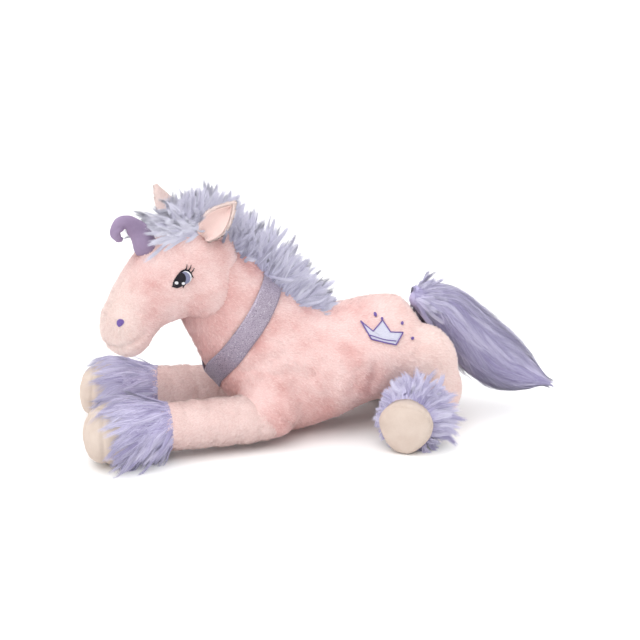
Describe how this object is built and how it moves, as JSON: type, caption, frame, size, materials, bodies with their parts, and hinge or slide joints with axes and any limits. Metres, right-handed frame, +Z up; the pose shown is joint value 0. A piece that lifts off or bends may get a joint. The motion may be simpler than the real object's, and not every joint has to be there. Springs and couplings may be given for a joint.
{
  "type": "plush unicorn",
  "caption": "Plush unicorn lying on its belly, head turned aside, with floppy legs, ears and horn, long-pile mane, cuffs and tail, a ribbon collar and an embroidered crown.",
  "frame": {"origin": "middle of the bounding box in X and Y, on the surface that the belly and hooves rest on", "axes": "+Z up, the animal faces -Y, +X is its left side, Y runs from hoof to tail"},
  "size_m": [0.2208, 0.4819, 0.26],
  "materials": {
    "pink_plush": "short pile plush",
    "lavender_pile": "long combed pile",
    "cream_plush": "short napped plush",
    "fibre_filling": "loose polyester fibre",
    "glitter_ribbon": "woven ribbon with fine glitter",
    "horn_velvet": "satin velour",
    "thread_violet": "satin-stitched thread",
    "thread_silver": "satin-stitched thread with a silvery lustre",
    "thread_black": "satin-stitched thread"
  },
  "bodies": {
    "torso": {"torso_cover": "pink_plush", "torso_filling": "fibre_filling", "collar_band": "glitter_ribbon", "mane_withers": "lavender_pile", "crown_patch": "thread_silver", "crown_edging": "thread_violet", "sparkle_dots": "thread_violet"},
    "neck": {"neck_cover": "pink_plush", "neck_filling": "fibre_filling", "mane_crest": "lavender_pile"},
    "head": {"head_cover": "pink_plush", "head_filling": "fibre_filling", "mane_poll": "lavender_pile", "forelock": "lavender_pile", "eye_left": "thread_black", "eye_right": "thread_black", "lashes_left": "thread_black", "lashes_right": "thread_black", "nostril_left": "thread_violet", "nostril_right": "thread_violet"},
    "horn": {"horn_cover": "horn_velvet", "horn_filling": "fibre_filling"},
    "tail_root": {"tail_base": "fibre_filling"},
    "tail": {"tail_core": "lavender_pile", "tail_fur": "lavender_pile"},
    "ear_left": {"ear_left_outer": "pink_plush", "ear_left_lining": "cream_plush"},
    "foreleg_left": {"foreleg_left_cover": "pink_plush", "foreleg_left_filling": "fibre_filling", "fore_hoof_left_cover": "cream_plush", "fore_hoof_left_filling": "fibre_filling", "fore_cuff_left": "lavender_pile"},
    "hindleg_left": {"hindleg_left_cover": "pink_plush", "hindleg_left_filling": "fibre_filling", "hind_hoof_left_cover": "cream_plush", "hind_hoof_left_filling": "fibre_filling", "hind_cuff_left": "lavender_pile"},
    "ear_right": {"ear_right_outer": "pink_plush", "ear_right_lining": "cream_plush"},
    "foreleg_right": {"foreleg_right_cover": "pink_plush", "foreleg_right_filling": "fibre_filling", "fore_hoof_right_cover": "cream_plush", "fore_hoof_right_filling": "fibre_filling", "fore_cuff_right": "lavender_pile"},
    "hindleg_right": {"hindleg_right_cover": "pink_plush", "hindleg_right_filling": "fibre_filling", "hind_hoof_right_cover": "cream_plush", "hind_hoof_right_filling": "fibre_filling", "hind_cuff_right": "lavender_pile"}
  },
  "joints": [
    {"name": "head_nod", "type": "hinge", "parent": "torso", "child": "neck", "pos_m": [0, -0.112, 0.154], "axis": [-1, 0, 0], "range_deg": [-10, 8], "stiffness_Nm_per_rad": 1.5},
    {"name": "head_turn", "type": "hinge", "parent": "neck", "child": "head", "pos_m": [0, -0.112, 0.154], "axis": [0, -0.5299, 0.848], "range_deg": [-30, 15], "stiffness_Nm_per_rad": 0.8},
    {"name": "horn_flex", "type": "hinge", "parent": "head", "child": "horn", "pos_m": [0.02121, -0.17026, 0.196], "axis": [0.9397, 0.342, 0], "range_deg": [-5, 12], "stiffness_Nm_per_rad": 0.1},
    {"name": "ear_left_fold", "type": "hinge", "parent": "head", "child": "ear_left", "pos_m": [0.0304, -0.11688, 0.20853], "axis": [0.322, 0.7955, -0.5133], "range_deg": [-25, 20], "stiffness_Nm_per_rad": 0.03},
    {"name": "foreleg_left_spread", "type": "hinge", "parent": "torso", "child": "foreleg_left", "pos_m": [0.046, -0.056, 0.029], "axis": [0, 0, 1], "range_deg": [-6, 28], "stiffness_Nm_per_rad": 0.4},
    {"name": "hindleg_left_swing", "type": "hinge", "parent": "torso", "child": "hindleg_left", "pos_m": [0.052, 0.086, 0.033], "axis": [0, 0, 1], "range_deg": [-6, 20], "stiffness_Nm_per_rad": 0.4},
    {"name": "ear_right_fold", "type": "hinge", "parent": "head", "child": "ear_right", "pos_m": [-0.02022, -0.13545, 0.21122], "axis": [0.8776, -0.4792, 0.015], "range_deg": [-25, 20], "stiffness_Nm_per_rad": 0.03},
    {"name": "foreleg_right_spread", "type": "hinge", "parent": "torso", "child": "foreleg_right", "pos_m": [-0.046, -0.056, 0.029], "axis": [0, 0, -1], "range_deg": [-6, 28], "stiffness_Nm_per_rad": 0.4},
    {"name": "hindleg_right_swing", "type": "hinge", "parent": "torso", "child": "hindleg_right", "pos_m": [-0.052, 0.086, 0.033], "axis": [0, 0, -1], "range_deg": [-6, 20], "stiffness_Nm_per_rad": 0.4},
    {"name": "tail_swing", "type": "hinge", "parent": "torso", "child": "tail_root", "pos_m": [0, 0.102, 0.126], "axis": [0, 0, 1], "range_deg": [-20, 20], "stiffness_Nm_per_rad": 0.15},
    {"name": "tail_lift", "type": "hinge", "parent": "tail_root", "child": "tail", "pos_m": [0, 0.102, 0.126], "axis": [1, 0, 0], "range_deg": [0, 35], "stiffness_Nm_per_rad": 0.6}
  ]
}
